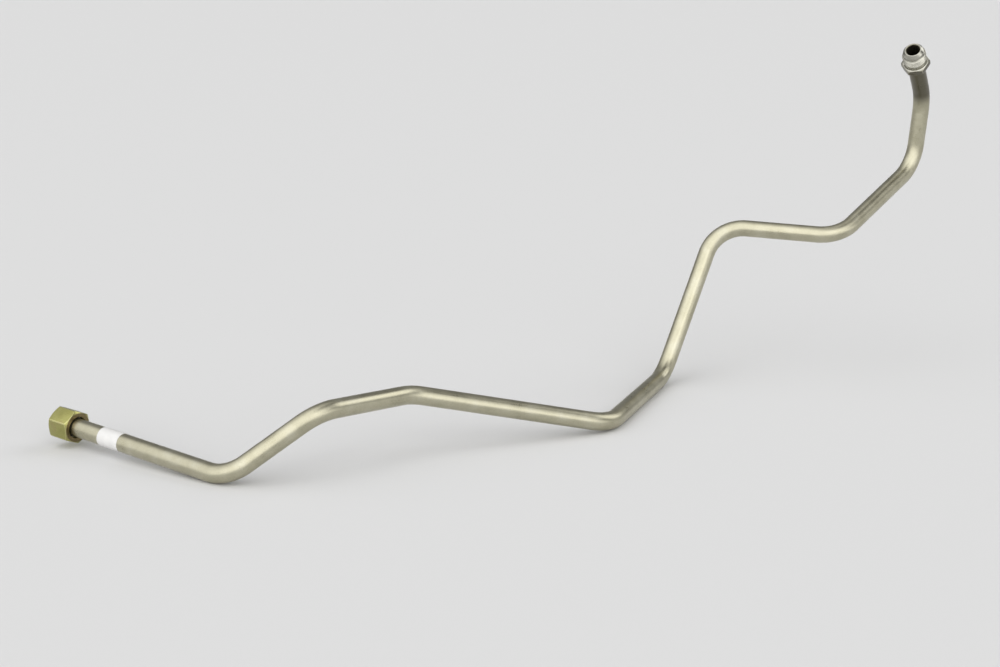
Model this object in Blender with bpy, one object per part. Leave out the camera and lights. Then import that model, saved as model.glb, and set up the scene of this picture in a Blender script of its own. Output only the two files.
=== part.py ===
"""Bent hydraulic tube: a flared steel tube with a swivel nut at one end and a
brazed male connector at the other. Units are metres, +Z is up. The part lies on
the floor on three of its bends, and its frame is the bottom centre of its box.
"""

import math

import bmesh
import bpy
from mathutils import Matrix, Vector

# Tube
TUBE_OD = 0.015875
TUBE_WALL = 0.00165
BEND_RADIUS = 0.036
TUBE_SIDES = 24
BEND_STEP_DEG = 9.0

# Route of the centre line: the flared end, the nine corners where two straight
# runs meet, and the end that sits in the connector
ROUTE = (
    (-0.3970, -0.0885, 0.0185),
    (-0.2445, -0.1905, 0.0065),
    (-0.1710, -0.1780, 0.0565),
    (-0.1020, -0.1105, 0.0495),
    (0.0670, -0.0675, 0.0077),
    (0.1280, 0.0745, 0.0077),
    (0.1855, 0.1435, 0.1405),
    (0.2995, 0.1125, 0.1350),
    (0.3875, 0.1895, 0.1910),
    (0.3920, 0.1860, 0.2595),
    (0.3730, 0.1495, 0.2970),
)

# Running and seating clearance between neighbouring pieces
GAP = 0.0003

# Flare that the nut pulls on, and the connector's nose for one like it
FLARE_HALF_ANGLE_DEG = 37.0
FLARE_RISE = 0.0018
FLARE_CLEARANCE = 0.0004

# Swivel nut. Its thread's minor radius clears the flare
NUT_WALL = 0.00285
NUT_LENGTH = 0.0220
NUT_MOUTH_CHAMFER = 0.00085
NUT_FLAT_INSET = 0.0006
NUT_CHAMFER_DEG = 30.0
NUT_TURN_DEG = 4.5
NUT_FLARE_DEPTH = 0.0105
NUT_REAR_CHAMFER = 0.0004

# Sleeve between the flare and the nut
SLEEVE_WALL = 0.00066
SLEEVE_NOSE_SETBACK = 0.0011
SLEEVE_HEAD_LENGTH = 0.0026
SLEEVE_LENGTH = 0.0074

# Male connector. Its steps are stated outwards from the bore: lip, nose, thread, hexagon
HEX_SHOULDER = 0.0008
HEX_THICKNESS = 0.0065
HEX_FLAT_INSET = 0.0005
HEX_CHAMFER_DEG = 30.0
HEX_TURN_DEG = -9.0
RELIEF_LENGTH = 0.0025
RELIEF_DEPTH = 0.0015
THREAD_STEP = 0.0015
MALE_THREAD_LENGTH = 0.0093
MALE_THREAD_CHAMFER = 0.0009
GROOVE_LENGTH = 0.0009
GROOVE_DEPTH = 0.0006
NOSE_LENGTH = 0.0048
NOSE_RISE = 0.0020
NOSE_LIP = 0.0013
BORE_CHAMFER = 0.0003
TUBE_INSERTION = 0.0055
TURNED_SIDES = 32

# Braze fillet behind the hexagon
BRAZE_LEG = 0.0019
BRAZE_LENGTH = 0.0027

# Wrapped film label
LABEL_FROM_NUT = 0.0320
LABEL_LENGTH = 0.0235
LABEL_FILM = 0.0002

TUBE_R = TUBE_OD / 2
BORE_R = TUBE_R - TUBE_WALL
FLARE_R = TUBE_R + FLARE_RISE
NUT_MINOR_R = FLARE_R + FLARE_CLEARANCE


def material(name, colour, metallic, roughness):
    mat = bpy.data.materials.new(name)
    mat.use_nodes = True
    shader = mat.node_tree.nodes["Principled BSDF"]
    shader.inputs["Base Color"].default_value = (*colour, 1.0)
    shader.inputs["Metallic"].default_value = metallic
    shader.inputs["Roughness"].default_value = roughness
    mat.diffuse_color = (*colour, 1.0)
    return mat


def add_object(name, bm, mat=None, sharp_deg=30.0):
    """Turn a bmesh into a linked object with its own material."""
    bmesh.ops.recalc_face_normals(bm, faces=bm.faces)
    mesh = bpy.data.meshes.new(name)
    bm.to_mesh(mesh)
    bm.free()
    mesh.shade_smooth()
    mesh.set_sharp_from_angle(angle=math.radians(sharp_deg))
    obj = bpy.data.objects.new(name, mesh)
    bpy.context.scene.collection.objects.link(obj)
    if mat:
        mesh.materials.append(mat)
    return obj


def add_empty(name, parent=None):
    obj = bpy.data.objects.new(name, None)
    obj.empty_display_size = 0.02
    bpy.context.scene.collection.objects.link(obj)
    obj.parent = parent
    return obj


def axis_frame(point, direction, hint, turn_deg):
    """Frame with local Z along a direction and local X near a hint, turned about Z."""
    z = direction.normalized()
    x = (hint - hint.dot(z) * z).normalized()
    y = z.cross(x)
    frame = Matrix((x, y, z)).transposed().to_4x4()
    frame.translation = point
    return frame @ Matrix.Rotation(math.radians(turn_deg), 4, "Z")


def place(obj, frame, parent):
    obj.parent = parent
    obj.location = frame.to_translation()
    obj.rotation_euler = frame.to_euler()


def turned(profile, sides):
    """Spin an outline of (radius, height) points about Z. Ends on the axis close it."""
    bm = bmesh.new()
    verts = [bm.verts.new((r, 0.0, z)) for r, z in profile]
    edges = [bm.edges.new(pair) for pair in zip(verts, verts[1:])]
    if profile[0][0] > 0.0:
        edges.append(bm.edges.new((verts[-1], verts[0])))
    bmesh.ops.spin(
        bm,
        geom=verts + edges,
        cent=(0.0, 0.0, 0.0),
        axis=(0.0, 0.0, 1.0),
        angle=math.tau,
        steps=sides,
        use_merge=True,
    )
    bmesh.ops.remove_doubles(bm, verts=bm.verts, dist=0.000001)
    return bm


def hexagon_bar(across_flats, length):
    """Hexagon prism along Z with a corner on local X."""
    bm = bmesh.new()
    bmesh.ops.create_cone(
        bm,
        cap_ends=True,
        segments=6,
        radius1=across_flats / math.sqrt(3),
        radius2=across_flats / math.sqrt(3),
        depth=length,
        matrix=Matrix.Translation((0.0, 0.0, length / 2)),
    )
    bmesh.ops.rotate(bm, verts=bm.verts, matrix=Matrix.Rotation(corner_turn(bm), 3, "Z"))
    return bm


def corner_turn(bm):
    """Angle that brings the first corner of a prism onto local X."""
    corner = bm.verts[:][0].co
    return -math.atan2(corner.y, corner.x)


def chamfered_blank(across_flats, length, inset, chamfer_deg, sides):
    """Turned blank that takes the corners off both ends of a hexagon."""
    face_r = across_flats / 2 - inset
    outer_r = across_flats * 0.62
    drop = (outer_r - face_r) * math.tan(math.radians(chamfer_deg))
    return turned(
        [(0.0, 0.0), (face_r, 0.0), (outer_r, drop), (outer_r, length - drop), (face_r, length), (0.0, length)],
        sides,
    )


def cut(target, tool, operation):
    """Add an exact Boolean with a hidden tool object."""
    mod = target.modifiers.new(tool.name, "BOOLEAN")
    mod.operation = operation
    mod.solver = "EXACT"
    mod.object = tool
    tool.parent = target
    tool.hide_render = True
    tool.display_type = "WIRE"


def new_faces(result):
    return [item for item in result["geom"] if isinstance(item, bmesh.types.BMFace)]


def face_verts(faces):
    return list({v for face in faces for v in face.verts})


def region(faces):
    """The faces with their edges and corners, so that an extrusion leaves none behind."""
    return faces + face_verts(faces) + list({e for face in faces for e in face.edges})


def extrude(bm, faces):
    return new_faces(bmesh.ops.extrude_face_region(bm, geom=region(faces)))


def flare_ring(bm, faces, step, outer, inner):
    """Extrude the open end along Z and set its outer and inner radius."""
    faces = extrude(bm, faces)
    verts = face_verts(faces)
    bmesh.ops.translate(bm, verts=verts, vec=(0.0, 0.0, step))
    middle = sum(v.co.xy.length for v in verts) / len(verts)
    for v in verts:
        radius = outer if v.co.xy.length > middle else inner
        v.co.xy = v.co.xy.normalized() * radius
    return faces


def build_tube(mat):
    """Annular section, flared at its first end, swept through runs and bends."""
    slope = math.tan(math.radians(FLARE_HALF_ANGLE_DEG))
    wall_across = TUBE_WALL / math.cos(math.radians(FLARE_HALF_ANGLE_DEG))
    flare_length = (FLARE_R - TUBE_R) / slope
    inner_length = (FLARE_R - wall_across - BORE_R) / slope
    points = [Vector(p) for p in ROUTE]
    runs = [(b - a).normalized() for a, b in zip(points, points[1:])]

    bm = bmesh.new()
    for radius in (FLARE_R, FLARE_R - wall_across):
        bmesh.ops.create_circle(bm, cap_ends=False, radius=radius, segments=TUBE_SIDES)
    bmesh.ops.bridge_loops(bm, edges=bm.edges)
    faces = list(bm.faces)
    faces = flare_ring(bm, faces, inner_length, FLARE_R - inner_length * slope, BORE_R)
    faces = flare_ring(bm, faces, flare_length - inner_length, TUBE_R, BORE_R)
    start = axis_frame(points[0], runs[0], Vector((0.0, 0.0, 1.0)), NUT_TURN_DEG)
    bmesh.ops.transform(bm, matrix=start, verts=bm.verts)

    here = points[0] + runs[0] * flare_length
    for corner, run_in, run_out in zip(points[1:], runs, runs[1:]):
        angle = run_in.angle(run_out)
        setback = BEND_RADIUS * math.tan(angle / 2)
        tangent = corner - run_in * setback
        faces = extrude(bm, faces)
        bmesh.ops.translate(bm, verts=face_verts(faces), vec=tangent - here)
        inward = (run_out - run_out.dot(run_in) * run_in).normalized()
        bend = bmesh.ops.spin(
            bm,
            geom=region(faces),
            cent=tangent + inward * BEND_RADIUS,
            axis=run_in.cross(run_out).normalized(),
            angle=angle,
            steps=math.ceil(math.degrees(angle) / BEND_STEP_DEG),
        )
        faces = [item for item in bend["geom_last"] if isinstance(item, bmesh.types.BMFace)]
        here = corner + run_out * setback
    faces = extrude(bm, faces)
    bmesh.ops.translate(bm, verts=face_verts(faces), vec=points[-1] - here)
    return add_object("tube", bm, mat)


def build_nut(mat):
    """Hexagon nut, local Z from its threaded mouth to its rear."""
    across_flats = 2 * (NUT_MINOR_R + NUT_WALL)
    nut = add_object("tube_nut", hexagon_bar(across_flats, NUT_LENGTH), mat)
    blank = chamfered_blank(across_flats, NUT_LENGTH, NUT_FLAT_INSET, NUT_CHAMFER_DEG, 48)
    cut(nut, add_object("nut_blank", blank), "INTERSECT")

    rear_r = TUBE_R + GAP + SLEEVE_WALL + GAP
    shoulder = NUT_FLARE_DEPTH + SLEEVE_NOSE_SETBACK + SLEEVE_HEAD_LENGTH + GAP * (math.sqrt(2) - 1)
    step = NUT_MINOR_R - rear_r
    over = NUT_WALL
    bore = turned(
        [
            (0.0, -over),
            (NUT_MINOR_R + NUT_MOUTH_CHAMFER + over, -over),
            (NUT_MINOR_R, NUT_MOUTH_CHAMFER),
            (NUT_MINOR_R, shoulder),
            (rear_r, shoulder + step),
            (rear_r, NUT_LENGTH - NUT_REAR_CHAMFER),
            (rear_r + NUT_REAR_CHAMFER + over, NUT_LENGTH + over),
            (0.0, NUT_LENGTH + over),
        ],
        TURNED_SIDES,
    )
    cut(nut, add_object("nut_bore", bore), "DIFFERENCE")
    return nut


def build_sleeve(mat):
    """Turned sleeve behind the flare, local Z as the nut's."""
    slope = math.tan(math.radians(FLARE_HALF_ANGLE_DEG))
    gap_across = GAP / math.cos(math.radians(FLARE_HALF_ANGLE_DEG))
    bore_r = TUBE_R + GAP
    tail_r = bore_r + SLEEVE_WALL
    head_r = NUT_MINOR_R - GAP
    nose_r = FLARE_R + gap_across - SLEEVE_NOSE_SETBACK * slope
    front = NUT_FLARE_DEPTH + SLEEVE_NOSE_SETBACK
    shoulder = front + SLEEVE_HEAD_LENGTH
    outline = [
        (nose_r, front),
        (head_r, front),
        (head_r, shoulder),
        (tail_r, shoulder + head_r - tail_r),
        (tail_r, front + SLEEVE_LENGTH),
        (bore_r, front + SLEEVE_LENGTH),
        (bore_r, front + (nose_r - bore_r) / slope),
    ]
    return add_object("tube_sleeve", turned(outline, TUBE_SIDES), mat)


def build_connector(mat):
    """Male connector, local Z from the back of its hexagon to the tip of its nose."""
    tip_r = BORE_R + NOSE_LIP
    nose_r = tip_r + NOSE_RISE
    cone = NOSE_RISE / math.tan(math.radians(FLARE_HALF_ANGLE_DEG))
    groove_r = nose_r - GROOVE_DEPTH
    thread_r = nose_r + THREAD_STEP
    relief_r = thread_r - RELIEF_DEPTH
    across_flats = 2 * (thread_r + HEX_SHOULDER)
    thread_start = HEX_THICKNESS + RELIEF_LENGTH
    thread_end = thread_start + MALE_THREAD_LENGTH
    nose_start = thread_end + GROOVE_LENGTH
    tip = nose_start + NOSE_LENGTH
    inside = HEX_THICKNESS / 2

    connector = add_object("male_connector", hexagon_bar(across_flats, HEX_THICKNESS), mat)
    blank = chamfered_blank(across_flats, HEX_THICKNESS, HEX_FLAT_INSET, HEX_CHAMFER_DEG, 48)
    cut(connector, add_object("hexagon_blank", blank), "INTERSECT")
    outline = [
        (0.0, inside),
        (relief_r, inside),
        (relief_r, thread_start),
        (thread_r - MALE_THREAD_CHAMFER, thread_start),
        (thread_r, thread_start + MALE_THREAD_CHAMFER),
        (thread_r, thread_end - MALE_THREAD_CHAMFER),
        (thread_r - MALE_THREAD_CHAMFER, thread_end),
        (groove_r, thread_end),
        (groove_r, nose_start),
        (nose_r, nose_start),
        (nose_r, tip - cone),
        (tip_r, tip),
        (0.0, tip),
    ]
    cut(connector, add_object("connector_stem", turned(outline, TURNED_SIDES)), "UNION")

    socket_r = TUBE_R + GAP
    socket_end = TUBE_INSERTION + GAP
    bore = [
        (0.0, -inside),
        (socket_r, -inside),
        (socket_r, socket_end),
        (BORE_R, socket_end),
        (BORE_R, tip - BORE_CHAMFER),
        (BORE_R + BORE_CHAMFER + inside, tip + inside),
        (0.0, tip + inside),
    ]
    cut(connector, add_object("connector_bore", turned(bore, TURNED_SIDES)), "DIFFERENCE")
    return connector


def build_braze(mat):
    """Concave braze fillet, local Z as the connector's."""
    inner_r = TUBE_R + GAP
    count = 5
    outline = [(inner_r, -GAP)]
    for i in range(count + 1):
        turn = math.pi / 2 * i / count
        radius = inner_r + GAP + (BRAZE_LEG - GAP) * (1 - math.sin(turn))
        outline.append((radius, -GAP - BRAZE_LENGTH * (1 - math.cos(turn))))
    outline.append((inner_r, -GAP - BRAZE_LENGTH))
    return add_object("braze_fillet", turned(outline, TUBE_SIDES), mat)


def build_label(mat):
    """Film wrapped once round the tube, local Z along the first run."""
    inner_r = TUBE_R + GAP
    outer_r = inner_r + LABEL_FILM
    outline = [(inner_r, 0.0), (outer_r, 0.0), (outer_r, LABEL_LENGTH), (inner_r, LABEL_LENGTH)]
    return add_object("label", turned(outline, TUBE_SIDES), mat)


def centre_on_floor(root):
    """Move the whole part so that its box stands on Z = 0 with its middle on the axis."""
    bpy.context.view_layer.update()
    depsgraph = bpy.context.evaluated_depsgraph_get()
    corners = []
    for obj in bpy.context.scene.objects:
        if obj.type != "MESH" or obj.hide_render:
            continue
        shape = obj.evaluated_get(depsgraph)
        corners.extend(shape.matrix_world @ v.co for v in shape.data.vertices)
    low = Vector([min(c[i] for c in corners) for i in range(3)])
    high = Vector([max(c[i] for c in corners) for i in range(3)])
    root.location = (-(low.x + high.x) / 2, -(low.y + high.y) / 2, -low.z)


def main():
    for obj in list(bpy.data.objects):
        bpy.data.objects.remove(obj, do_unlink=True)

    root = add_empty("hydraulic_tube")
    up = Vector((0.0, 0.0, 1.0))
    right = Vector((1.0, 0.0, 0.0))
    points = [Vector(p) for p in ROUTE]
    first_run = (points[1] - points[0]).normalized()
    last_run = (points[-1] - points[-2]).normalized()

    tube = build_tube(material("tube_steel", (0.36, 0.34, 0.27), 1.0, 0.36))
    tube.parent = root

    nut_axis = add_empty("nut_axis")
    mouth = points[0] - first_run * NUT_FLARE_DEPTH
    place(nut_axis, axis_frame(mouth, first_run, up, NUT_TURN_DEG), root)
    nut = build_nut(material("yellow_zinc", (0.56, 0.52, 0.26), 1.0, 0.34))
    nut.parent = nut_axis
    sleeve = build_sleeve(material("sleeve_steel", (0.42, 0.41, 0.38), 1.0, 0.35))
    sleeve.parent = nut_axis

    label = build_label(material("label_film", (0.88, 0.87, 0.85), 0.0, 0.55))
    label.parent = nut_axis
    label.location = (0.0, 0.0, NUT_LENGTH + LABEL_FROM_NUT)

    connector_axis = add_empty("connector_axis")
    hex_back = points[-1] - last_run * TUBE_INSERTION
    place(connector_axis, axis_frame(hex_back, last_run, right, HEX_TURN_DEG), root)
    connector = build_connector(material("plated_steel", (0.50, 0.49, 0.45), 1.0, 0.30))
    connector.parent = connector_axis
    braze = build_braze(material("braze_metal", (0.45, 0.38, 0.22), 1.0, 0.42))
    braze.parent = connector_axis

    centre_on_floor(root)


main()
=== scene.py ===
# %% [markdown]
# # A bent hydraulic tube
#
# This notebook dresses a hydraulic tube for a photograph: a zinc-plated steel tube with nine bends,
# a loose yellow swivel nut on a flare at one end, and a brazed male connector at the other. The
# engineering model is loaded first, and the pieces made here keep its sizes and places. Each cell
# then makes one piece, or one finish, the way the real one is made, and prints what it made.

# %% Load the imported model
import math

import bmesh
import bpy
from mathutils import Matrix, Vector, kdtree, noise


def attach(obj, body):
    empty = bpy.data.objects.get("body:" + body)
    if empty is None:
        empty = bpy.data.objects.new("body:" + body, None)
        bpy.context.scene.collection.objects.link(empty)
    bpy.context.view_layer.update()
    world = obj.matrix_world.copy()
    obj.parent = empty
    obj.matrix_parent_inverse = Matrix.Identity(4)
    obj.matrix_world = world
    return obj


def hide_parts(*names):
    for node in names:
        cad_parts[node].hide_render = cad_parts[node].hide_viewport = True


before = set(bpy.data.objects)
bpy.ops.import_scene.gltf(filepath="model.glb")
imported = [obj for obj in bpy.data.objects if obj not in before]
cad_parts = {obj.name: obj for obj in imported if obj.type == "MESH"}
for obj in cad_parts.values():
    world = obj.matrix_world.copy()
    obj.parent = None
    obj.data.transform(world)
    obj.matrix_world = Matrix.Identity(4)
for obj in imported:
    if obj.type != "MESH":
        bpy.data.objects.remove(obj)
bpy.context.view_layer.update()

# %% [markdown]
# ## Camera
#
# The route of the tube and the camera were fitted to the photograph together. The camera stood
# about 1.3 m in front of the tube and 0.42 m above the table, looking 15 degrees down. Its focal
# length is 1500 pixels for a picture 1000 pixels across: a 54 mm lens on a 36 mm sensor.

# %% Place the camera
CAMERA_PLACE = (-0.01582, -1.30759, 0.42126)
CAMERA_YAW_DEG = 0.217
CAMERA_DOWN_DEG = 14.961
CAMERA_ROLL_DEG = -0.63
camera_data = bpy.data.cameras.new("camera")
camera_data.sensor_width = 36.0
camera_data.lens = 54.0
camera_data.clip_start = 0.05
camera_data.clip_end = 200.0
camera = bpy.data.objects.new("camera", camera_data)
bpy.context.scene.collection.objects.link(camera)
camera.matrix_world = (
    Matrix.Translation(CAMERA_PLACE)
    @ Matrix.Rotation(math.radians(CAMERA_YAW_DEG), 4, "Z")
    @ Matrix.Rotation(math.radians(90.0 - CAMERA_DOWN_DEG), 4, "X")
    @ Matrix.Rotation(math.radians(CAMERA_ROLL_DEG), 4, "Z")
)
bpy.context.scene.camera = camera
print("camera stands at", [round(v, 3) for v in camera.matrix_world.translation])

# %% [markdown]
# ## Colour and nodes
#
# Colours are written as sRGB hex values, as in any paint program, but shaders work in linear light,
# so one function converts them. A second small function adds a node with its settings and its
# links, and a third starts a material.

# %% Colour and node helpers
def linear(hex_colour):
    """An sRGB hex colour as linear RGBA."""
    channels = [int(hex_colour[i : i + 2], 16) / 255 for i in (1, 3, 5)]
    return (*(c / 12.92 if c <= 0.04045 else ((c + 0.055) / 1.055) ** 2.4 for c in channels), 1.0)


def add_node(tree, kind, settings=None, stops=None, **links):
    """Add a node. Settings go on its properties, and (position, colour) stops on its ramp. Links go on
    its sockets by name, or by place as _0 and _1."""
    node = tree.nodes.new(kind)
    for key, value in (settings or {}).items():
        setattr(node, key, value)
    for i, (position, colour) in enumerate(stops or ()):
        elements = node.color_ramp.elements
        element = elements[i] if i < 2 else elements.new(position)
        element.position, element.color = position, linear(colour)
    for key, value in links.items():
        by_place = key.startswith("_")
        socket = node.inputs[int(key[1:]) if by_place else key.replace("_", " ")]
        if isinstance(value, bpy.types.NodeSocket):
            tree.links.new(value, socket)
        else:
            socket.default_value = value
    return node


def start_material(name, **values):
    """A new material, its node tree and its Principled shader, with values set on the shader."""
    mat = bpy.data.materials.new(name)
    mat.use_nodes = True
    shader = mat.node_tree.nodes["Principled BSDF"]
    for key, value in values.items():
        shader.inputs[key.replace("_", " ")].default_value = value
    return mat, mat.node_tree, shader


print("mid grey #808080 in linear light:", round(linear("#808080")[0], 3))

# %% [markdown]
# ## Studio
#
# A polished tube is a map of the room. In the photograph nearly every run is bright where it
# mirrors the space behind the camera, the third run also mirrors something bright up to the right,
# and all of them are dim where they mirror the far side. So the world is a dim grey room with a big
# soft glow behind the camera and three small ones: two on the right and a faint one on the left.
# The eighth run is dark, so a black flag dims the big glow at the upper right. There are no lamps,
# because a near lamp would burn a white spot on the table, which is plain pale paper. The level is
# plain too: paper written as #d4d4d4 renders at about #dedede.

# %% World
world = bpy.data.worlds.new("studio")
bpy.context.scene.world = world
world.use_nodes = True
sky = world.node_tree
background = sky.nodes["Background"]
direction = add_node(sky, "ShaderNodeTexCoord")


def softbox(azimuth, elevation, outside, inside, dim, bright):
    """A round glow, bright within one angle of its middle and dim beyond another. Azimuth 180 is behind
    the camera."""
    a, e = math.radians(azimuth), math.radians(elevation)
    middle = (math.cos(e) * math.sin(a), math.cos(e) * math.cos(a), math.sin(e))
    towards = add_node(
        sky,
        "ShaderNodeVectorMath",
        {"operation": "DOT_PRODUCT"},
        _0=direction.outputs["Generated"],
        _1=middle,
    )
    glow = add_node(
        sky,
        "ShaderNodeMapRange",
        {"interpolation_type": "SMOOTHSTEP"},
        Value=towards.outputs["Value"],
        From_Min=math.cos(math.radians(outside)),
        From_Max=math.cos(math.radians(inside)),
        To_Min=dim,
        To_Max=bright,
    )
    return glow.outputs["Result"]


behind_camera = softbox(180, 26, outside=108, inside=40, dim=0.28, bright=1.93)
black_flag = softbox(98, 50, outside=46, inside=26, dim=1.0, bright=0.08)
flagged = add_node(sky, "ShaderNodeMath", {"operation": "MULTIPLY"}, _0=behind_camera, _1=black_flag)
small_glows = (
    softbox(71, 35, outside=25, inside=13, dim=0.0, bright=2.1),
    softbox(140, 45, outside=24, inside=6, dim=0.0, bright=1.4),
    softbox(-61, 36, outside=24, inside=6, dim=0.0, bright=0.5),
)
lit = flagged.outputs["Value"]
for glow in small_glows:
    lit = add_node(sky, "ShaderNodeMath", {"operation": "ADD"}, _0=lit, _1=glow).outputs["Value"]
sky.links.new(lit, background.inputs["Strength"])
background.inputs["Color"].default_value = linear("#ffffff")
print("glows in the room: 1 big and", len(small_glows), "small, with one black flag")

# %% Table
TABLE_HALF_WIDTH = 40.0
TABLE_DROP = 0.0002
table_mesh = bpy.data.meshes.new("table")
bm = bmesh.new()
bmesh.ops.create_grid(bm, x_segments=1, y_segments=1, size=TABLE_HALF_WIDTH)
bm.to_mesh(table_mesh)
bm.free()
table = bpy.data.objects.new("table", table_mesh)
table.location = (0.0, 0.0, -TABLE_DROP)
bpy.context.scene.collection.objects.link(table)
paper, _, _ = start_material(
    "white paper", Roughness=0.9, Base_Color=linear("#d4d4d4"), Specular_IOR_Level=0.1
)
table_mesh.materials.append(paper)
bpy.context.scene.view_settings.view_transform = "Standard"
print("table:", 2 * TABLE_HALF_WIDTH, "m wide,", TABLE_DROP * 1000, "mm under the part")

# %% [markdown]
# ## How a piece is finished
#
# Every piece is shaped in a bmesh. Turned pieces are shaped standing on their own axis, as they are
# on a lathe, and are then carried to their place inside the mesh, so that the object itself stays
# at the origin.

# %% Finish a piece
MERGE_DISTANCE = 0.0000005


def finish_piece(name, bm, materials, body, replaced, sharp=30.0, place=None):
    """Make a smooth object from a bmesh, with its materials, its body and the CAD node it stands for."""
    bmesh.ops.remove_doubles(bm, verts=bm.verts, dist=MERGE_DISTANCE)
    bmesh.ops.recalc_face_normals(bm, faces=bm.faces)
    if place:
        bmesh.ops.transform(bm, matrix=place, verts=bm.verts)
    mesh = bpy.data.meshes.new(name)
    bm.to_mesh(mesh)
    bm.free()
    mesh.shade_smooth()
    mesh.set_sharp_from_angle(angle=math.radians(sharp))
    piece = bpy.data.objects.new(name, mesh)
    bpy.context.scene.collection.objects.link(piece)
    for mat in materials:
        mesh.materials.append(mat)
    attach(piece, body)
    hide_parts(replaced)
    points = [v.co for v in mesh.vertices]
    size = [max(p[i] for p in points) - min(p[i] for p in points) for i in range(3)]
    print(name, "faces:", len(mesh.polygons), "size in mm:", [round(s * 1000, 1) for s in size])


# %% [markdown]
# ## The route
#
# A tube bender works from a table: the corner points where the straight runs would meet, and one
# bend radius. This is that table, in metres, in the frame of the CAD. All nine bends share a 36 mm
# radius on the centre line, a little over twice the tube's diameter, because one die made them all.

# %% Route table and section sizes
ROUTE = [
    Vector(p)
    for p in (
        (-0.39018, -0.08854, 0.01875),
        (-0.23768, -0.19054, 0.00675),
        (-0.16418, -0.17804, 0.05675),
        (-0.09518, -0.11054, 0.04975),
        (0.07382, -0.06754, 0.00795),
        (0.13482, 0.07446, 0.00795),
        (0.19232, 0.14346, 0.14075),
        (0.30632, 0.11246, 0.13525),
        (0.39432, 0.18946, 0.19125),
        (0.39882, 0.18596, 0.25975),
        (0.37982, 0.14946, 0.29725),
    )
]
TUBE_R = 0.0079375
TUBE_WALL = 0.00165
BORE_R = TUBE_R - TUBE_WALL
FLARE_RISE = 0.0018
FLARE_R = TUBE_R + FLARE_RISE
FLARE_HALF_ANGLE = math.radians(37.0)
FLARE_SLOPE = math.tan(FLARE_HALF_ANGLE)
BEND_RADIUS = 0.036
NUT_FLARE_DEPTH = 0.0105
TUBE_INSERTION = 0.0055
NUT_TURN_DEG = 4.5
CONNECTOR_TURN_DEG = -9.0
UP = Vector((0, 0, 1))
ACROSS = Vector((1, 0, 0))
runs = [(b - a).normalized() for a, b in zip(ROUTE, ROUTE[1:])]


def axis_frame(point, along, hint, turn_deg):
    """Frame with local Z along a direction and local X near a hint, turned about Z."""
    z = along.normalized()
    x = (hint - hint.dot(z) * z).normalized()
    y = z.cross(x)
    matrix = Matrix((x, y, z)).transposed().to_4x4()
    matrix.translation = point
    return matrix @ Matrix.Rotation(math.radians(turn_deg), 4, "Z")


NUT_FRAME = axis_frame(ROUTE[0] - runs[0] * NUT_FLARE_DEPTH, runs[0], UP, NUT_TURN_DEG)
CONNECTOR_FRAME = axis_frame(
    ROUTE[-1] - runs[-1] * TUBE_INSERTION, runs[-1], ACROSS, CONNECTOR_TURN_DEG
)
print("corner points:", len(ROUTE), "straight runs:", len(runs), "bends:", len(runs) - 1)

# %% [markdown]
# ## Bending the tube
#
# The tube is one wall, so its section is a ring of faces. The ring is extruded along each straight
# run and spun about each bend's centre, as the bender does it. Before it leaves the start, each
# vertex stores its own place in the section, and every copy inherits it. Together with the length
# along the route, that gives straightened coordinates: drawing lines in the metal can then follow
# the tube round its bends.

# %% Helpers for extruding
def region(faces):
    """The faces with their corners and edges, so that an extrusion leaves none of them behind."""
    return faces + corners(faces) + list({e for f in faces for e in f.edges})


def corners(faces):
    """The vertices of the faces, each once."""
    return list({v for f in faces for v in f.verts})


def only_faces(items):
    """The faces among what an operator returned."""
    return [item for item in items if isinstance(item, bmesh.types.BMFace)]


def extrude_faces(bm, faces):
    """Extrude the faces on the spot and return the new ones."""
    return only_faces(bmesh.ops.extrude_face_region(bm, geom=region(faces))["geom"])


# %% Start with the flare
SIDES = 64
LEAD_IN = 0.0015
OUTER_SKIN = TUBE_R - 0.0005

tube_bm = bmesh.new()
section_layer = tube_bm.verts.layers.float_vector.new("section")
wall_across = TUBE_WALL / math.cos(FLARE_HALF_ANGLE)
inner_length = (FLARE_R - wall_across - BORE_R) / FLARE_SLOPE
flare_length = FLARE_RISE / FLARE_SLOPE
for radius in (FLARE_R, FLARE_R - wall_across):
    bmesh.ops.create_circle(tube_bm, cap_ends=False, radius=radius, segments=SIDES)
bmesh.ops.bridge_loops(tube_bm, edges=tube_bm.edges)
for v in tube_bm.verts:
    is_outer = v.co.length > FLARE_R - wall_across / 2
    v[section_layer] = v.co.normalized() * (TUBE_R if is_outer else BORE_R)
ring = list(tube_bm.faces)
for step, outer, inner in (
    (inner_length, FLARE_R - inner_length * FLARE_SLOPE, BORE_R),
    (flare_length - inner_length, TUBE_R, BORE_R),
    (LEAD_IN, TUBE_R, BORE_R),
):
    ring = extrude_faces(tube_bm, ring)
    bmesh.ops.translate(tube_bm, verts=corners(ring), vec=(0.0, 0.0, step))
    for v in corners(ring):
        v.co.xy = v.co.xy.normalized() * (outer if v[section_layer].length > OUTER_SKIN else inner)
start = axis_frame(ROUTE[0], runs[0], UP, NUT_TURN_DEG)
bmesh.ops.transform(tube_bm, matrix=start, verts=tube_bm.verts)
print("flare in mm: radius", round(FLARE_R * 1000, 2), "length", round(flare_length * 1000, 2))

# %% Draw and bend the tube
STRAIGHT_STEP = 0.012
BEND_STEP_DEG = 3.0
MARK_STEP = 0.001


def draw_straight(ring, begin, end):
    """Extrude the ring from one point to another in equal steps, and return the last ring."""
    steps = max(2, round((end - begin).length / STRAIGHT_STEP))
    for _ in range(steps):
        ring = extrude_faces(tube_bm, ring)
        bmesh.ops.translate(tube_bm, verts=corners(ring), vec=(end - begin) / steps)
    return ring


def mark_straight(end):
    """Add a mark to the centre line for each millimetre up to a point."""
    last = centre_line[-1].copy()
    count = max(2, round((end - last).length / MARK_STEP))
    for i in range(count):
        centre_line.append(last.lerp(end, (i + 1) / count))


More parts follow.
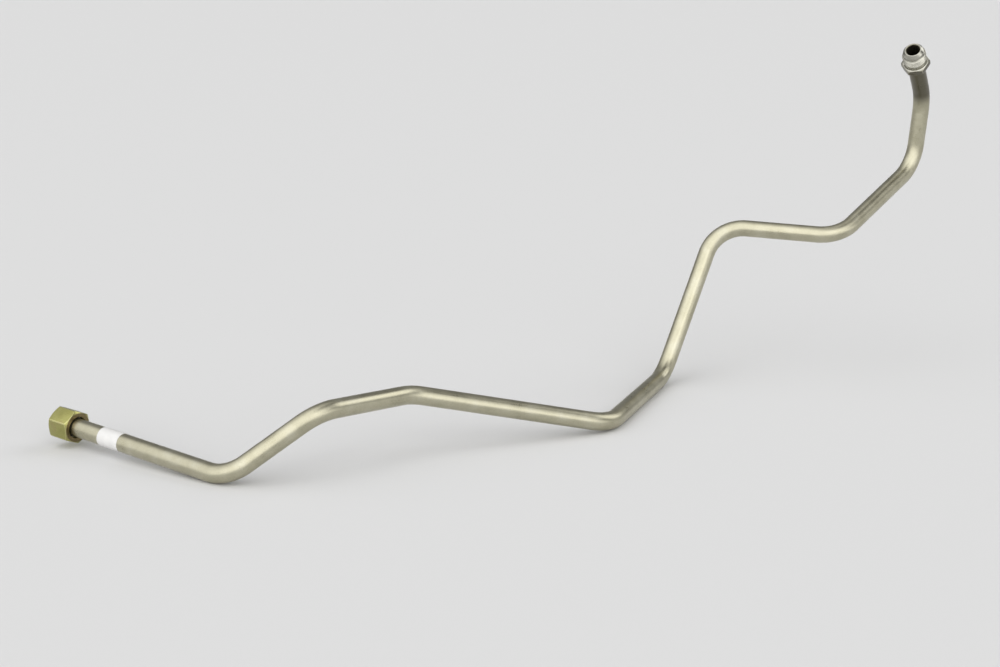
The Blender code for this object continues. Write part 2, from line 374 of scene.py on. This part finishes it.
here = ROUTE[0] + runs[0] * (flare_length + LEAD_IN)
centre_line = [ROUTE[0].copy()]
bend_marks = []
for corner, run_in, run_out in zip(ROUTE[1:], runs, runs[1:]):
    angle = run_in.angle(run_out)
    setback = BEND_RADIUS * math.tan(angle / 2)
    tangent = corner - run_in * setback
    ring = draw_straight(ring, here, tangent)
    inward = (run_out - run_out.dot(run_in) * run_in).normalized()
    centre = tangent + inward * BEND_RADIUS
    axis = run_in.cross(run_out).normalized()
    steps = math.ceil(math.degrees(angle) / BEND_STEP_DEG)
    bend = bmesh.ops.spin(
        tube_bm, geom=region(ring), cent=centre, axis=axis, angle=angle, steps=steps
    )
    ring = only_faces(bend["geom_last"])
    mark_straight(tangent)
    first_mark = len(centre_line)
    arc = max(2, round(BEND_RADIUS * angle / MARK_STEP))
    for i in range(arc):
        swing = Matrix.Rotation(angle * (i + 1) / arc, 3, axis)
        centre_line.append(centre + swing @ (tangent - centre))
    bend_marks.append((first_mark, len(centre_line) - 1))
    here = corner + run_out * setback
draw_straight(ring, here, ROUTE[-1])
mark_straight(ROUTE[-1])
lengths = [0.0]
for a, b in zip(centre_line, centre_line[1:]):
    lengths.append(lengths[-1] + (b - a).length)
print("length of the tube along its centre line in mm:", round(lengths[-1] * 1000, 1))

# %% [markdown]
# ## Straightened coordinates
#
# Each vertex looks up the nearest millimetre of the centre line. It stores where it would lie if
# the tube were pulled straight again, and how far it is into a bend, because the finish is a little
# duller where the bending die rubbed it.

# %% Store straightened coordinates
BEND_FADE = 0.006
tree_of_points = kdtree.KDTree(len(centre_line))
for i, p in enumerate(centre_line):
    tree_of_points.insert(p, i)
tree_of_points.balance()
straight_layer = tube_bm.verts.layers.float_vector.new("straightened")
bend_layer = tube_bm.verts.layers.float.new("in_bend")
for v in tube_bm.verts:
    _, index, _ = tree_of_points.find(v.co)
    behind = centre_line[max(index - 1, 0)]
    ahead = centre_line[min(index + 1, len(centre_line) - 1)]
    along = lengths[index] + (v.co - centre_line[index]).dot((ahead - behind).normalized())
    section = v[section_layer]
    v[straight_layer] = (section.x, section.y, along)
    near = 0.0
    for first, last in bend_marks:
        inside = min(along - lengths[first], lengths[last] - along)
        near = max(near, min(1.0, max(0.0, inside / BEND_FADE + 0.5)))
    v[bend_layer] = near
for face in tube_bm.faces:
    inner = all(v[section_layer].length < OUTER_SKIN for v in face.verts)
    face.material_index = 1 if inner else 0
print("marks on the centre line:", len(centre_line), "bends marked:", len(bend_marks))

# %% [markdown]
# ## Zinc-plated steel
#
# The tube is drawn steel with a clear-to-olive zinc plating. Drawing leaves faint lines along the
# tube, plating softens them to a satin sheen, and handling adds fine scuffs. It is a metal, so its
# colour is the colour of its reflections. The drawing lines are about 0.3 mm apart, drawn a little
# coarser than real so that they show.

# %% Plating on the tube
# Over the last run the tube is mixed towards a dark colour: partly brazing heat tint, partly painted
# shade.
HEAT_AND_SHADE_START = 0.064
HEAT_AND_SHADE_FULL = 0.044


def plated_tube():
    """Satin zinc over fine drawing lines, darker near the connector: partly brazing heat tint and
    partly painted shade.
    """
    mat, tree, shader = start_material("zinc plated drawn steel", Metallic=1.0)
    place = add_node(tree, "ShaderNodeAttribute", {"attribute_name": "straightened"})
    bend = add_node(tree, "ShaderNodeAttribute", {"attribute_name": "in_bend"})
    where = place.outputs["Vector"]
    stretched = add_node(
        tree, "ShaderNodeMapping", {"vector_type": "POINT"}, Vector=where, Scale=(1.0, 1.0, 0.018)
    )
    lines = add_node(
        tree,
        "ShaderNodeTexNoise",
        Vector=stretched.outputs["Vector"],
        Scale=3200.0,
        Detail=3.0,
        Roughness=0.6,
    )
    cloud = add_node(tree, "ShaderNodeTexNoise", Vector=where, Scale=70.0, Detail=4.0, Roughness=0.55)
    grain = add_node(tree, "ShaderNodeTexNoise", Vector=where, Scale=1500.0, Detail=2.0, Roughness=0.5)
    tint = add_node(
        tree,
        "ShaderNodeValToRGB",
        stops=[(0.30, "#ada993"), (0.52, "#b8b49e"), (0.74, "#c0bdaa")],
        Fac=cloud.outputs["Fac"],
    )
    fleck = add_node(
        tree,
        "ShaderNodeValToRGB",
        stops=[(0.28, "#a9a492"), (0.45, "#ffffff")],
        Fac=grain.outputs["Fac"],
    )
    body = add_node(
        tree,
        "ShaderNodeMix",
        {"data_type": "RGBA", "blend_type": "MULTIPLY"},
        _0=0.35,
        _6=tint.outputs["Color"],
        _7=fleck.outputs["Color"],
    )
    length = add_node(tree, "ShaderNodeSeparateXYZ", Vector=where)
    # Towards the connector the colour is mixed with a dark brown: partly brazing heat tint, partly
    # painted shade.
    heat_and_shade = add_node(
        tree,
        "ShaderNodeMapRange",
        {"interpolation_type": "SMOOTHSTEP"},
        Value=length.outputs["Z"],
        From_Min=lengths[-1] - HEAT_AND_SHADE_START,
        From_Max=lengths[-1] - HEAT_AND_SHADE_FULL,
        To_Min=0.0,
        To_Max=0.85,
    )
    burnt_and_shaded = add_node(
        tree,
        "ShaderNodeMix",
        {"data_type": "RGBA", "blend_type": "MIX"},
        _0=heat_and_shade.outputs["Result"],
        _6=body.outputs[2],
        _7=linear("#4b473c"),
    )
    tree.links.new(burnt_and_shaded.outputs[2], shader.inputs["Base Color"])
    sheen = add_node(
        tree,
        "ShaderNodeMapRange",
        Value=cloud.outputs["Fac"],
        From_Min=0.3,
        From_Max=0.7,
        To_Min=0.22,
        To_Max=0.30,
    )
    duller = add_node(
        tree,
        "ShaderNodeMath",
        {"operation": "MULTIPLY_ADD"},
        _0=bend.outputs["Fac"],
        _1=0.05,
        _2=sheen.outputs["Result"],
    )
    lined = add_node(
        tree,
        "ShaderNodeMath",
        {"operation": "MULTIPLY_ADD"},
        _0=lines.outputs["Fac"],
        _1=0.10,
        _2=duller.outputs["Value"],
    )
    tree.links.new(lined.outputs["Value"], shader.inputs["Roughness"])
    relief = add_node(
        tree, "ShaderNodeBump", Height=lines.outputs["Fac"], Strength=0.10, Distance=0.0002
    )
    skin = add_node(
        tree,
        "ShaderNodeBump",
        Height=grain.outputs["Fac"],
        Strength=0.06,
        Distance=0.0002,
        Normal=relief.outputs["Normal"],
    )
    tree.links.new(skin.outputs["Normal"], shader.inputs["Normal"])
    return mat


def dull_bore():
    """Bare steel inside the tube, dulled by a film of oil."""
    mat, tree, shader = start_material("oiled steel bore", Metallic=1.0, Roughness=0.5)
    place = add_node(tree, "ShaderNodeAttribute", {"attribute_name": "straightened"})
    cloud = add_node(tree, "ShaderNodeTexNoise", Vector=place.outputs["Vector"], Scale=160.0, Detail=3.0)
    tint = add_node(
        tree,
        "ShaderNodeValToRGB",
        stops=[(0.3, "#3b3932"), (0.7, "#57544a")],
        Fac=cloud.outputs["Fac"],
    )
    tree.links.new(tint.outputs["Color"], shader.inputs["Base Color"])
    return mat


finish_piece(
    "bent_tube", tube_bm, [plated_tube(), dull_bore()], "tube_body", "tube", sharp=25.0
)

# %% [markdown]
# ## Turned pieces with flats
#
# A hexagon nut starts as hexagon bar in a lathe. The other way round is simpler in a bmesh and ends
# the same: the whole outline with its chamfers and its bore is spun round the axis, and six planes
# then mill the flats. Where a plane crosses the chamfer cone, the true curved edge of a nut appears
# by itself.

# %% Turn and mill
def turn(outline, sides):
    """Spin a closed outline of (radius, height) points in millimetres about Z."""
    bm = bmesh.new()
    verts = [bm.verts.new((r / 1000, 0.0, z / 1000)) for r, z in outline]
    edges = [bm.edges.new(pair) for pair in zip(verts, verts[1:] + verts[:1])]
    bmesh.ops.spin(
        bm,
        geom=verts + edges,
        cent=(0, 0, 0),
        axis=(0, 0, 1),
        angle=math.tau,
        steps=sides,
        use_merge=True,
    )
    bmesh.ops.recalc_face_normals(bm, faces=bm.faces)
    return bm


def mill_flats(bm, across_flats):
    """Cut six flats. Corners stay on local X, as on the CAD's hexagon."""
    for k in range(6):
        facing = math.radians(30 + 60 * k)
        normal = Vector((math.cos(facing), math.sin(facing), 0.0))
        cut = bmesh.ops.bisect_plane(
            bm,
            geom=list(bm.verts) + list(bm.edges) + list(bm.faces),
            dist=0.0000001,
            plane_co=normal * across_flats / 2000,
            plane_no=normal,
            clear_outer=True,
        )
        rim = [item for item in cut["geom_cut"] if isinstance(item, bmesh.types.BMEdge)]
        bmesh.ops.edgeloop_fill(bm, edges=rim)


# %% [markdown]
# ## Rolled edges
#
# Parts tumble against each other in the plating barrel, which rounds the sharp edges of the milled
# flats. A bevel does the same here. Its narrow faces, and the strips of turned surface left at the
# six corners, are marked, so that the finish can brighten them: partly wear, partly a painted highlight.

# %% Roll the edges
FLAT_AREA = 0.00002
FLAT_TILT = 0.01
STRIP_DEPTH = 0.00005
SHARP_EDGE = math.radians(12)


def roll_edges(bm, width):
    """Round the edges of the milled flats, in millimetres, and mark the narrow faces to be brightened
    as wear and a painted highlight.
    """
    # Marks the faces that the finishes brighten: partly wear, partly a painted highlight.
    worn = bm.faces.layers.float.new("worn")
    bm.normal_update()
    flats = [f for f in bm.faces if f.calc_area() > FLAT_AREA and abs(f.normal.z) < FLAT_TILT]
    strip_r = max(v.co.xy.length for v in bm.verts) - STRIP_DEPTH
    strips = [
        f for f in bm.faces if f not in flats and all(v.co.xy.length > strip_r for v in f.verts)
    ]
    edges = {e for f in flats for e in f.edges if e.is_manifold}
    rims = [e for e in edges if abs(e.calc_face_angle()) > SHARP_EDGE]
    rolled = bmesh.ops.bevel(
        bm,
        geom=rims,
        offset=width / 1000,
        offset_type="OFFSET",
        segments=2,
        profile=0.5,
        affect="EDGES",
        material=-1,
        clamp_overlap=True,
    )
    for face in strips + rolled["faces"]:
        if face.is_valid:
            face[worn] = 1.0
    print("flats:", len(flats), "rolled faces:", len(rolled["faces"]))


# %% [markdown]
# ## Threads
#
# A thread is one ridge wound round a cylinder. Its section, a V with a rounded crest, is spun round
# the axis while it moves along by one pitch a turn. A thread never starts as a full ridge: a
# chamfer takes its ends away, so each point that stands past a limit for its height is brought back
# to it.

# %% Cut a thread
def add_thread(bm, start, length, pitch, root, crest, limit, sides=72):
    """A helical ridge of rounded V section from root to crest radius, in millimetres, kept inside
    limit(z)."""
    height = crest - root
    sink = -0.08 if height > 0 else 0.08
    flank = (
        (root + sink, 0.46),
        (root + 0.15 * height, 0.40),
        (root + 0.92 * height, 0.10),
        (crest, 0.05),
    )
    outline = [(r, -share * pitch) for r, share in flank]
    outline += [(r, share * pitch) for r, share in reversed(flank)]
    verts = [bm.verts.new((r / 1000, 0.0, (start + z) / 1000)) for r, z in outline]
    face = bm.faces.new(verts)
    turns = length / pitch
    steps = round(sides * turns)
    before = set(bm.verts) - set(verts)
    bmesh.ops.spin(
        bm,
        geom=[face] + verts + list(face.edges),
        cent=(0, 0, 0),
        axis=(0, 0, 1),
        dvec=(0, 0, length / 1000 / steps),
        angle=math.tau * turns,
        steps=steps,
    )
    for v in set(bm.verts) - before:
        radius = v.co.xy.length * 1000
        allowed = limit(v.co.z * 1000)
        clipped = min(radius, allowed) if height > 0 else max(radius, allowed)
        v.co.xy *= clipped / radius
    print("turns of thread:", round(turns, 2), "steps:", steps)


# %% [markdown]
# ## Swivel nut
#
# The nut pulls the flare onto the mating nose. Its mouth carries a 7/8-14 thread, 1.81 mm a turn,
# cut to the major diameter, and a narrower bore behind it clears the tube and its sleeve. The
# corner edges are rolled off a little, as tumbling in the plating barrel leaves them, and they
# catch the light as thin bright lines.

# %% Make the nut
NUT_AF = 25.975
NUT_LENGTH = 22.0
NUT_BLANK_R = 14.78
NUT_REAR_BORE_R = 9.1975
NUT_MAJOR_R = 11.15
NUT_MINOR_R = 10.1375
NUT_MOUTH_R = 11.45
PITCH = 25.4 / 14
nut_outline = [
    (NUT_MOUTH_R, 0.0),
    (12.28, 0.0),
    (12.39, 0.06),
    (NUT_BLANK_R, 1.44),
    (NUT_BLANK_R, 20.56),
    (12.39, 21.94),
    (12.28, NUT_LENGTH),
    (9.62, NUT_LENGTH),
    (9.45, 21.95),
    (NUT_REAR_BORE_R, 21.68),
    (NUT_REAR_BORE_R, 15.18),
    (NUT_MINOR_R, 14.24),
    (NUT_MINOR_R, 13.3),
    (NUT_MAJOR_R, 12.7),
    (NUT_MAJOR_R, 0.30),
]


def nut_thread_limit(z):
    """Inner limit of the nut's thread: a chamfer at its mouth and a ramp where the tap ran out."""
    return max(NUT_MINOR_R, NUT_MOUTH_R - max(z, 0.0), NUT_MINOR_R + (z - 12.0) * 1.6)


nut_bm = turn(nut_outline, 144)
mill_flats(nut_bm, NUT_AF)
roll_edges(nut_bm, 0.28)
add_thread(nut_bm, 0.2, 12.4, PITCH, NUT_MAJOR_R, NUT_MINOR_R, nut_thread_limit)

# %% [markdown]
# ## Yellow zinc plating
#
# The nut is steel with yellow chromated zinc. The chromate film is a thin layer with faint shifts
# between straw, green and pink, over the fine lines of the bar on the flats. The faced rear is
# browner and darker, partly a browner film and partly painted shade, and the rolled edges are
# bright, partly because the barrel rubs them nearly clean and partly as a painted highlight. The
# pattern follows the nut's own axis, which a Mapping node supplies.

# %% Yellow zinc
def own_axes(tree, matrix):
    """Object coordinates measured from a piece's own axis frame."""
    coordinates = add_node(tree, "ShaderNodeTexCoord")
    return add_node(
        tree,
        "ShaderNodeMapping",
        {"vector_type": "TEXTURE"},
        Vector=coordinates.outputs["Object"],
        Location=matrix.translation,
        Rotation=matrix.to_euler(),
    )


def yellow_zinc():
    """Straw to green chromate over the bar's fine lines, browner behind as a darker film with painted
    shade, and bright on the rolled edges as wear with a painted highlight.
    """
    mat, tree, shader = start_material("yellow chromated zinc", Metallic=1.0)
    where = own_axes(tree, NUT_FRAME).outputs["Vector"]
    film = add_node(tree, "ShaderNodeTexNoise", Vector=where, Scale=95.0, Detail=3.0, Roughness=0.5)
    tint = add_node(
        tree,
        "ShaderNodeValToRGB",
        stops=[(0.30, "#969359"), (0.45, "#9f9c61"), (0.58, "#a6a467"), (0.72, "#a29866")],
        Fac=film.outputs["Fac"],
    )
    stretched = add_node(
        tree, "ShaderNodeMapping", {"vector_type": "POINT"}, Vector=where, Scale=(1.0, 1.0, 0.03)
    )
    lines = add_node(
        tree,
        "ShaderNodeTexNoise",
        Vector=stretched.outputs["Vector"],
        Scale=2600.0,
        Detail=2.0,
        Roughness=0.6,
    )
    height = add_node(tree, "ShaderNodeSeparateXYZ", Vector=where)
    # The rear face is mixed towards a darker brown: partly a browner film, partly painted shade.
    rear = add_node(
        tree,
        "ShaderNodeMapRange",
        Value=height.outputs["Z"],
        From_Min=0.02165,
        From_Max=0.02195,
        To_Min=0.0,
        To_Max=0.9,
    )
    rear_film_and_shade = add_node(
        tree,
        "ShaderNodeMix",
        {"data_type": "RGBA"},
        _0=rear.outputs["Result"],
        _6=tint.outputs["Color"],
        _7=linear("#7d6e52"),
    )
    # The rolled edges are mixed towards a pale straw: partly wear, partly a painted highlight.
    worn = add_node(tree, "ShaderNodeAttribute", {"attribute_name": "worn"})
    wear_and_highlight_amount = add_node(tree, "ShaderNodeMath", {"operation": "MULTIPLY"}, _0=worn.outputs["Fac"], _1=0.8)
    edged = add_node(
        tree,
        "ShaderNodeMix",
        {"data_type": "RGBA"},
        _0=wear_and_highlight_amount.outputs["Value"],
        _6=rear_film_and_shade.outputs[2],
        _7=linear("#cfcb98"),
    )
    tree.links.new(edged.outputs[2], shader.inputs["Base Color"])
    rough = add_node(
        tree,
        "ShaderNodeMapRange",
        Value=lines.outputs["Fac"],
        From_Min=0.25,
        From_Max=0.75,
        To_Min=0.24,
        To_Max=0.36,
    )
    tree.links.new(rough.outputs["Result"], shader.inputs["Roughness"])
    relief = add_node(
        tree, "ShaderNodeBump", Height=lines.outputs["Fac"], Strength=0.12, Distance=0.0002
    )
    tree.links.new(relief.outputs["Normal"], shader.inputs["Normal"])
    return mat


finish_piece(
    "swivel_nut",
    nut_bm,
    [yellow_zinc()],
    "nut_body",
    "tube_nut",
    sharp=22.0,
    place=NUT_FRAME,
)

# %% [markdown]
# ## Sleeve
#
# A hardened sleeve lies between the nut and the flare, so that the turning nut doesn't drag on the
# thin flare. Only its tail can be seen, in the dark ring between the nut and the tube.

# %% Make the sleeve
sleeve_outline = [
    (9.32, 11.6),
    (9.70, 11.6),
    (9.8375, 11.74),
    (9.8375, 14.2),
    (8.8975, 15.14),
    (8.8975, 18.85),
    (8.75, 19.0),
    (8.36, 19.0),
    (8.2375, 18.88),
    (8.2375, 13.04),
]
sleeve_bm = turn(sleeve_outline, 96)
heights = [z for _, z in sleeve_outline]
print("sleeve length in mm:", round(max(heights) - min(heights), 2))

# %% [markdown]
# ## Turned steel
#
# A lathe tool leaves fine rings round the axis, about 0.4 mm apart here, a little coarser than real
# so that they show. They are a noise that reads only the distance from the axis and the height
# along it. The connector has two more layers: it is darker near the tube, partly brazing heat tint
# and partly painted shade, and its rolled edges are brighter, partly rubbed and partly a painted
# highlight.

# %% Turned steel
# The connector is darkened below a height near the tube: partly brazing heat tint, partly painted shade.
HEAT_AND_SHADE_EDGE = 0.0008


def turned_steel(name, colours, rough, matrix, heat_and_shade_below=None):
    """Plated or bare turned steel. With a height, it is darker below it, partly brazing heat tint and
    partly painted shade, and brighter on its rolled edges, partly wear and partly a painted highlight."""
    mat, tree, shader = start_material(name, Metallic=1.0)
    where = own_axes(tree, matrix).outputs["Vector"]
    apart = add_node(tree, "ShaderNodeSeparateXYZ", Vector=where)
    across = add_node(
        tree, "ShaderNodeCombineXYZ", X=apart.outputs["X"], Y=apart.outputs["Y"], Z=0.0
    )
    radius = add_node(
        tree, "ShaderNodeVectorMath", {"operation": "LENGTH"}, _0=across.outputs["Vector"]
    )
    ringed = add_node(
        tree, "ShaderNodeCombineXYZ", X=radius.outputs["Value"], Y=apart.outputs["Z"], Z=0.0
    )
    rings = add_node(
        tree,
        "ShaderNodeTexNoise",
        Vector=ringed.outputs["Vector"],
        Scale=2400.0,
        Detail=2.0,
        Roughness=0.6,
    )
    cloud = add_node(tree, "ShaderNodeTexNoise", Vector=where, Scale=140.0, Detail=3.0)
    tint = add_node(
        tree,
        "ShaderNodeValToRGB",
        stops=[(0.3, colours[0]), (0.7, colours[1])],
        Fac=cloud.outputs["Fac"],
    )
    colour = tint.outputs["Color"]
    # Below the given height the colour is mixed with a dark grey: partly brazing heat tint, partly
    # painted shade.
    if heat_and_shade_below:
        heat_and_shade = add_node(
            tree,
            "ShaderNodeMapRange",
            Value=apart.outputs["Z"],
            From_Min=heat_and_shade_below,
            From_Max=heat_and_shade_below - HEAT_AND_SHADE_EDGE,
            To_Min=0.0,
            To_Max=0.85,
        )
        dark = add_node(
            tree,
            "ShaderNodeMix",
            {"data_type": "RGBA"},
            _0=heat_and_shade.outputs["Result"],
            _6=colour,
            _7=linear("#575347"),
        )
        # The rolled edges are mixed towards a pale grey: partly wear, partly a painted highlight.
        worn = add_node(tree, "ShaderNodeAttribute", {"attribute_name": "worn"})
        wear_and_highlight_amount = add_node(tree, "ShaderNodeMath", {"operation": "MULTIPLY"}, _0=worn.outputs["Fac"], _1=0.6)
        colour = add_node(
            tree,
            "ShaderNodeMix",
            {"data_type": "RGBA"},
            _0=wear_and_highlight_amount.outputs["Value"],
            _6=dark.outputs[2],
            _7=linear("#c9c5b2"),
        ).outputs[2]
    tree.links.new(colour, shader.inputs["Base Color"])
    spread = add_node(
        tree,
        "ShaderNodeMapRange",
        Value=rings.outputs["Fac"],
        From_Min=0.25,
        From_Max=0.75,
        To_Min=rough[0],
        To_Max=rough[1],
    )
    tree.links.new(spread.outputs["Result"], shader.inputs["Roughness"])
    relief = add_node(
        tree, "ShaderNodeBump", Height=rings.outputs["Fac"], Strength=0.15, Distance=0.0002
    )
    tree.links.new(relief.outputs["Normal"], shader.inputs["Normal"])
    return mat


finish_piece(
    "sleeve",
    sleeve_bm,
    [turned_steel("hardened sleeve steel", ("#8c8778", "#9d988a"), (0.30, 0.45), NUT_FRAME)],
    "sleeve_body",
    "tube_sleeve",
    sharp=25.0,
    place=NUT_FRAME,
)

# %% [markdown]
# ## Male connector
#
# The connector is one turned piece: a milled hexagon, a relief, a 7/8-14 thread, a groove and a
# nose that is coned at 37 degrees to match a flare. Its bore meets the tube's bore, and the tube
# sits in a socket behind.

# %% Make the connector
CONNECTOR_AF = 23.775
HEX_THICKNESS = 6.5
SOCKET_R = 8.2375
SOCKET_END = 5.8
MALE_CREST_R = 11.0875
MALE_ROOT_R = 9.98
GROOVE_R = 8.9875
NOSE_R = 9.5875
TIP = 24.0
DRILLED_R = 6.2875
connector_outline = [
    (SOCKET_R, 0.0),
    (11.28, 0.0),
    (11.3875, 0.06),
    (13.58, 1.33),
    (13.58, 5.17),
    (11.3875, 6.44),
    (11.28, HEX_THICKNESS),
    (9.85, HEX_THICKNESS),
    (9.66, 6.58),
    (9.5875, 6.77),
    (9.5875, 8.9),
    (MALE_ROOT_R, 9.25),
    (MALE_ROOT_R, 17.75),
    (9.40, 18.3),
    (9.05, 18.3),
    (GROOVE_R, 18.36),
    (GROOVE_R, 19.1),
    (9.05, 19.2),
    (9.45, 19.2),
    (NOSE_R, 19.33),
    (NOSE_R, 21.25),
    (9.55, 21.40),
    (7.70, 23.85),
    (7.5875, 23.97),
    (7.48, TIP),
    (6.98, TIP),
    (6.88, 23.95),
    (DRILLED_R, 23.36),
    (DRILLED_R, SOCKET_END),
    (SOCKET_R, SOCKET_END),
]


def male_chamfer(z):
    """Outer limit of the thread: the 45 degree chamfers at both ends of its cylinder."""
    return min(MALE_CREST_R, 10.1 + max(z - 9.05, 0.0), 10.1 + max(18.25 - z, 0.0))


connector_bm = turn(connector_outline, 144)
mill_flats(connector_bm, CONNECTOR_AF)
roll_edges(connector_bm, 0.22)
add_thread(connector_bm, 9.75, 7.75, PITCH, MALE_ROOT_R, MALE_CREST_R, male_chamfer)

# %% Finish the connector
# Faces deep in the bore get a darker steel: painted shade inside the hole.
DARK_BELOW = 0.0237
DARK_WITHIN = 0.0075
# Below this height the connector is darkened: partly brazing heat tint, partly painted shade.
HEAT_AND_SHADE_BELOW = 0.0062
silver_zinc = turned_steel(
    "silver zinc plated steel", ("#a4a298", "#b2b0a6"), (0.20, 0.32), CONNECTOR_FRAME, HEAT_AND_SHADE_BELOW
)
# The bore's darker steel is painted shade inside the hole.
dark_bore = turned_steel("drilled bore with painted shade", ("#6d6a5c", "#7d796a"), (0.38, 0.52), CONNECTOR_FRAME)
for face in connector_bm.faces:
    middle = face.calc_center_median()
    deep = middle.z < DARK_BELOW and middle.xy.length < DARK_WITHIN
    face.material_index = 1 if deep else 0
finish_piece(
    "connector",
    connector_bm,
    [silver_zinc, dark_bore],
    "tube_body",
    "male_connector",
    sharp=22.0,
    place=CONNECTOR_FRAME,
)

# %% [markdown]
# ## Braze fillet
#
# Braze metal is drawn into the socket and leaves a small concave ring behind the hexagon. It froze
# where it flowed, so the ring is not quite even: a little noise moves its surface.

# %% Make the braze ring
BRAZE_BORE_R = 7.96
BRAZE_FOOT_R = 8.3
BRAZE_LEG = 1.6
BRAZE_START = -0.05
BRAZE_LENGTH = 2.9
ARC_STEPS = 8
SWELL_BEYOND_R = 0.0081
SWELL = 0.00018
RIPPLE_BELOW = -0.0015
RIPPLE = 0.00035
braze_outline = [(BRAZE_BORE_R, BRAZE_START)]
for i in range(ARC_STEPS + 1):
    sweep = math.pi / 2 * i / ARC_STEPS
    arc_r = BRAZE_FOOT_R + BRAZE_LEG * (1 - math.sin(sweep))
    braze_outline.append((arc_r, BRAZE_START - BRAZE_LENGTH * (1 - math.cos(sweep))))
braze_outline.append((BRAZE_BORE_R, BRAZE_START - BRAZE_LENGTH))
braze_bm = turn(braze_outline, 96)
for v in braze_bm.verts:
    if v.co.xy.length > SWELL_BEYOND_R:
        swell = noise.noise(v.co * 260.0) * SWELL
        v.co.xy *= 1.0 + swell / v.co.xy.length
        if v.co.z < RIPPLE_BELOW:
            v.co.z += noise.noise(v.co * 180.0 + Vector((3, 1, 4))) * RIPPLE


def braze_metal():
    """Copper-toned filler metal with an uneven, slightly rough skin."""
    mat, tree, shader = start_material("copper braze", Metallic=1.0)
    where = own_axes(tree, CONNECTOR_FRAME).outputs["Vector"]
    cloud = add_node(tree, "ShaderNodeTexNoise", Vector=where, Scale=420.0, Detail=4.0)
    tint = add_node(
        tree,
        "ShaderNodeValToRGB",
        stops=[(0.3, "#7a6347"), (0.55, "#97805a"), (0.75, "#a8946c")],
        Fac=cloud.outputs["Fac"],
    )
    tree.links.new(tint.outputs["Color"], shader.inputs["Base Color"])
    rough = add_node(
        tree,
        "ShaderNodeMapRange",
        Value=cloud.outputs["Fac"],
        From_Min=0.3,
        From_Max=0.7,
        To_Min=0.32,
        To_Max=0.52,
    )
    tree.links.new(rough.outputs["Result"], shader.inputs["Roughness"])
    relief = add_node(
        tree, "ShaderNodeBump", Height=cloud.outputs["Fac"], Strength=0.3, Distance=0.0003
    )
    tree.links.new(relief.outputs["Normal"], shader.inputs["Normal"])
    return mat


finish_piece(
    "braze_ring",
    braze_bm,
    [braze_metal()],
    "tube_body",
    "braze_fillet",
    sharp=40.0,
    place=CONNECTOR_FRAME,
)

# %% [markdown]
# ## Film label
#
# A strip of white polyester film is wrapped once round the tube and laps over itself. It is left
# blank. It lies tight on the metal, with a soft crease or two and a lap edge that stands a fraction
# of a millimetre proud.

# %% Make the label
LABEL_FROM_NUT = 32.0
LABEL_LENGTH = 23.5
LABEL_START = NUT_LENGTH + LABEL_FROM_NUT
LABEL_END = LABEL_START + LABEL_LENGTH
FILM_INNER_R = 7.975
FILM_OUTER_R = 8.105
LAP_INNER_R = 8.10
LAP_OUTER_R = 8.215
LAP_FROM_DEG = 196
LAP_DEG = 40
label_outline = [
    (FILM_INNER_R, LABEL_START),
    (FILM_OUTER_R, LABEL_START),
    (FILM_OUTER_R, LABEL_END),
    (FILM_INNER_R, LABEL_END),
]
label_bm = turn(label_outline, 120)
lap = [
    label_bm.verts.new((r / 1000, 0.0, z / 1000))
    for r, z in (
        (LAP_INNER_R, LABEL_START + 0.15),
        (LAP_OUTER_R, LABEL_START + 0.15),
        (LAP_OUTER_R, LABEL_END + 0.1),
        (LAP_INNER_R, LABEL_END + 0.1),
    )
]
lap_face = label_bm.faces.new(lap)
lap_turn = Matrix.Rotation(math.radians(LAP_FROM_DEG), 3, "Z")
bmesh.ops.rotate(label_bm, verts=lap, cent=(0, 0, 0), matrix=lap_turn)
bmesh.ops.spin(
    label_bm,
    geom=[lap_face] + lap + list(lap_face.edges),
    cent=(0, 0, 0),
    axis=(0, 0, 1),
    angle=math.radians(LAP_DEG),
    steps=16,
)


def polyester_film():
    """White film with a faint unevenness and a soft crease or two."""
    mat, tree, shader = start_material("white polyester film", Metallic=0.0, Roughness=0.42)
    where = own_axes(tree, NUT_FRAME).outputs["Vector"]
    cloud = add_node(tree, "ShaderNodeTexNoise", Vector=where, Scale=120.0, Detail=2.0)
    tint = add_node(
        tree,
        "ShaderNodeValToRGB",
        stops=[(0.3, "#d2d1cf"), (0.7, "#dad9d7")],
        Fac=cloud.outputs["Fac"],
    )
    tree.links.new(tint.outputs["Color"], shader.inputs["Base Color"])
    crease = add_node(tree, "ShaderNodeTexNoise", Vector=where, Scale=260.0, Detail=1.0)
    relief = add_node(
        tree, "ShaderNodeBump", Height=crease.outputs["Fac"], Strength=0.25, Distance=0.0004
    )
    tree.links.new(relief.outputs["Normal"], shader.inputs["Normal"])
    return mat


finish_piece(
    "film_label",
    label_bm,
    [polyester_film()],
    "tube_body",
    "label",
    sharp=30.0,
    place=NUT_FRAME,
)
